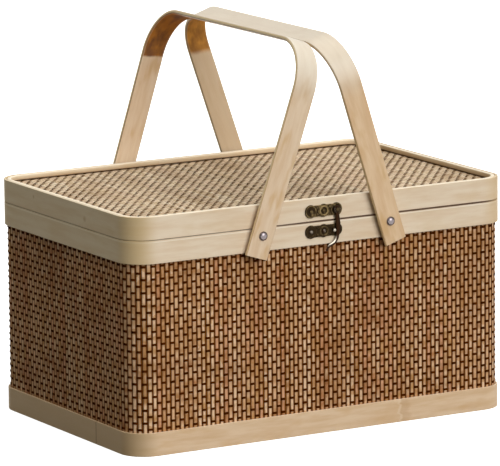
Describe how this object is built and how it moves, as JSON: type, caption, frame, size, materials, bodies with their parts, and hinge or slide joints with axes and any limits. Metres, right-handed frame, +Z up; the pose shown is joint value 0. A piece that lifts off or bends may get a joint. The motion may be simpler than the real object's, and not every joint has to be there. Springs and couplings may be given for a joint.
{
  "type": "picnic basket",
  "caption": "Rectangular lidded picnic basket of sewn bamboo slats between bent laths, with swinging lath handles, a rear-hinged lid and a front hook latch.",
  "frame": {"origin": "on the ground, under the middle of the whole basket", "axes": "+X along the length of the basket, -Y towards the front with the latch, +Z up"},
  "size_m": [0.33, 0.2332, 0.3014],
  "materials": {
    "bamboo_band": "pale sanded bamboo with fine lengthwise grain",
    "bamboo_inner_band": "plain inner face of split bamboo",
    "handle_lath": "pale bent bamboo lath, scorched inside the bends",
    "slat_mat": "narrow toasted bamboo slats sewn side by side",
    "lid_mat": "narrow bamboo slats, paler where the light falls",
    "thread": "dark waxed sewing thread",
    "board": "thin pale board",
    "bronze": "antique bronze with worn edges",
    "steel": "plain nickelled rivet"
  },
  "bodies": {
    "basket": {"base_outer_hoop": "bamboo_band", "base_inner_hoop": "bamboo_inner_band", "base_board": "board", "wall_weave": "slat_mat", "rim_outer_hoop": "bamboo_band", "rim_inner_hoop": "bamboo_inner_band", "rivet_front_left": "steel", "rivet_front_right": "steel", "rivet_rear_left": "steel", "rivet_rear_right": "steel", "spacer_front_left": "steel", "spacer_front_right": "steel", "spacer_rear_left": "steel", "spacer_rear_right": "steel", "burr_front_left": "steel", "burr_front_right": "steel", "burr_rear_left": "steel", "burr_rear_right": "steel", "latch_lower_plate": "bronze", "latch_stud": "bronze", "latch_nail_lower_1": "bronze", "latch_nail_lower_2": "bronze", "hinge_box_leaf_left": "bronze", "hinge_box_leaf_right": "bronze", "hinge_pin_left": "bronze", "hinge_pin_right": "bronze", "hinge_nail_box_1": "bronze", "hinge_nail_box_2": "bronze", "hinge_nail_box_3": "bronze", "hinge_nail_box_4": "bronze"},
    "lid": {"lid_outer_hoop": "bamboo_band", "lid_upper_ring": "bamboo_inner_band", "lid_weave": "lid_mat", "lid_lining": "board", "lid_lower_ring": "bamboo_inner_band", "latch_upper_plate": "bronze", "latch_pivot": "bronze", "latch_nail_upper_1": "bronze", "latch_nail_upper_2": "bronze", "hinge_lid_leaf_left": "bronze", "hinge_lid_leaf_right": "bronze", "hinge_nail_lid_1": "bronze", "hinge_nail_lid_2": "bronze", "hinge_nail_lid_3": "bronze", "hinge_nail_lid_4": "bronze"},
    "handle_left": {"handle_left": "handle_lath"},
    "handle_right": {"handle_right": "handle_lath"},
    "latch_hook": {"latch_hook": "bronze"}
  },
  "joints": [
    {"name": "lid_hinge", "type": "hinge", "parent": "basket", "child": "lid", "pos_m": [0, 0.1107, 0.163], "axis": [-1, 0, 0], "range_deg": [0, 9]},
    {"name": "hook_swing", "type": "hinge", "parent": "lid", "child": "latch_hook", "pos_m": [0.0108, -0.1107, 0.171], "axis": [0, -1, 0], "range_deg": [0, 90]},
    {"name": "handle_left_swing", "type": "hinge", "parent": "basket", "child": "handle_left", "pos_m": [-0.0556, 0, 0.1579], "axis": [0, -1, 0], "range_deg": [0, 145]},
    {"name": "handle_right_swing", "type": "hinge", "parent": "basket", "child": "handle_right", "pos_m": [0.0556, 0, 0.1579], "axis": [0, 1, 0], "range_deg": [0, 145]}
  ],
  "couplings": [
    {"joint": "hook_swing", "follows": "lid_hinge", "ratio": 10}
  ]
}
